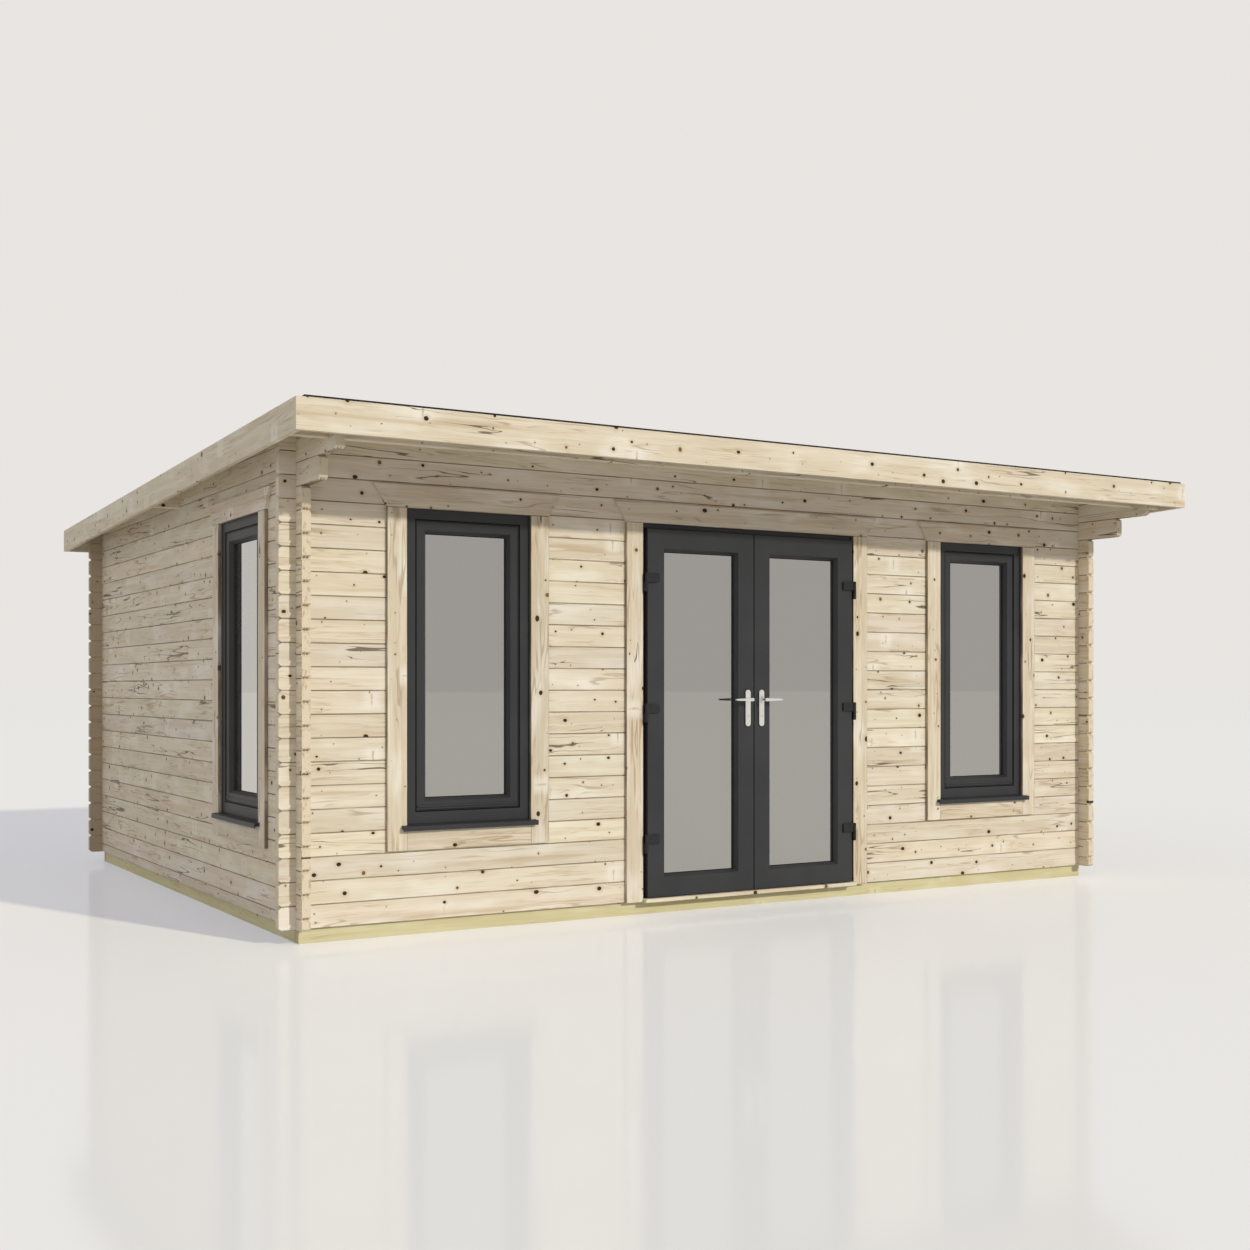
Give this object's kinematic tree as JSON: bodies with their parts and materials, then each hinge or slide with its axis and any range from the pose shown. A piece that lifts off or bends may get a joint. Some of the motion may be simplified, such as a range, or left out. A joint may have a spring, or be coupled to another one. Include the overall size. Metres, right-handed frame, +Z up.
{
  "type": "garden office cabin",
  "caption": "Pent-roof garden office of interlocking logs with crossed corners, stepped corbels, dark tall windows and outward-opening glazed double doors on a treated timber base.",
  "frame": {"origin": "on the ground under the middle of the roof's plan", "axes": "+Z up, the front with the doors faces -Y, +X to the right seen from the front"},
  "size_m": [5.754, 4.922, 2.5006],
  "materials": {
    "logs": "planed untreated spruce logs with dark knots",
    "trim_timber": "planed untreated spruce boards",
    "boards": "tongued and grooved spruce boards",
    "treated_timber": "pressure treated sawn timber, yellow green",
    "felt": "black mineral roofing felt",
    "upvc": "satin anthracite foil with a fine grain",
    "glass": "clear double glazing",
    "hinge_metal": "anthracite powder coat",
    "handle_metal": "bright satin chrome"
  },
  "bodies": {
    "cabin": {"front_bearer": "treated_timber", "back_bearer": "treated_timber", "left_bearer": "treated_timber", "right_bearer": "treated_timber", "floor_joists": "treated_timber", "floor": "boards", "front_wall_left": "logs", "front_wall_right": "logs", "front_wall_top": "logs", "back_wall": "logs", "left_wall": "logs", "right_wall": "logs", "purlins": "logs", "roof_boards": "boards", "roof_felt": "felt", "front_fascia": "trim_timber", "back_fascia": "trim_timber", "left_bargeboard": "trim_timber", "right_bargeboard": "trim_timber", "front_left_window_frame": "upvc", "front_right_window_frame": "upvc", "left_side_window_frame": "upvc", "right_side_window_frame": "upvc", "front_left_window_sash": "upvc", "front_right_window_sash": "upvc", "left_side_window_sash": "upvc", "right_side_window_sash": "upvc", "window_glass": "glass", "window_sills": "upvc", "front_window_trim": "trim_timber", "side_window_trim": "trim_timber", "door_frame": "upvc", "door_threshold": "trim_timber", "door_trim": "trim_timber", "hinge_brackets": "hinge_metal"},
    "left_door": {"left_door_leaf": "upvc", "left_door_glass": "glass", "left_hinge_flags": "hinge_metal", "left_handle_plates": "handle_metal"},
    "right_door": {"right_door_leaf": "upvc", "right_door_glass": "glass", "right_hinge_flags": "hinge_metal", "right_handle_plates": "handle_metal"},
    "left_lever": {"left_door_lever": "handle_metal"},
    "right_lever": {"right_door_lever": "handle_metal"}
  },
  "joints": [
    {"name": "left_door_hinge", "type": "hinge", "parent": "cabin", "child": "left_door", "pos_m": [-0.717, -1.881, 1.087], "axis": [0, 0, -1], "range_deg": [0, 90]},
    {"name": "right_door_hinge", "type": "hinge", "parent": "cabin", "child": "right_door", "pos_m": [0.717, -1.881, 1.087], "axis": [0, 0, 1], "range_deg": [0, 90]},
    {"name": "left_lever_turn", "type": "hinge", "parent": "left_door", "child": "left_lever", "pos_m": [-0.047, -1.836, 1.157], "axis": [0, -1, 0], "range_deg": [0, 40], "stiffness_Nm_per_rad": 2, "springref_deg": -17.19},
    {"name": "right_lever_turn", "type": "hinge", "parent": "right_door", "child": "right_lever", "pos_m": [0.047, -1.836, 1.157], "axis": [0, 1, 0], "range_deg": [0, 40], "stiffness_Nm_per_rad": 2, "springref_deg": -17.19}
  ]
}
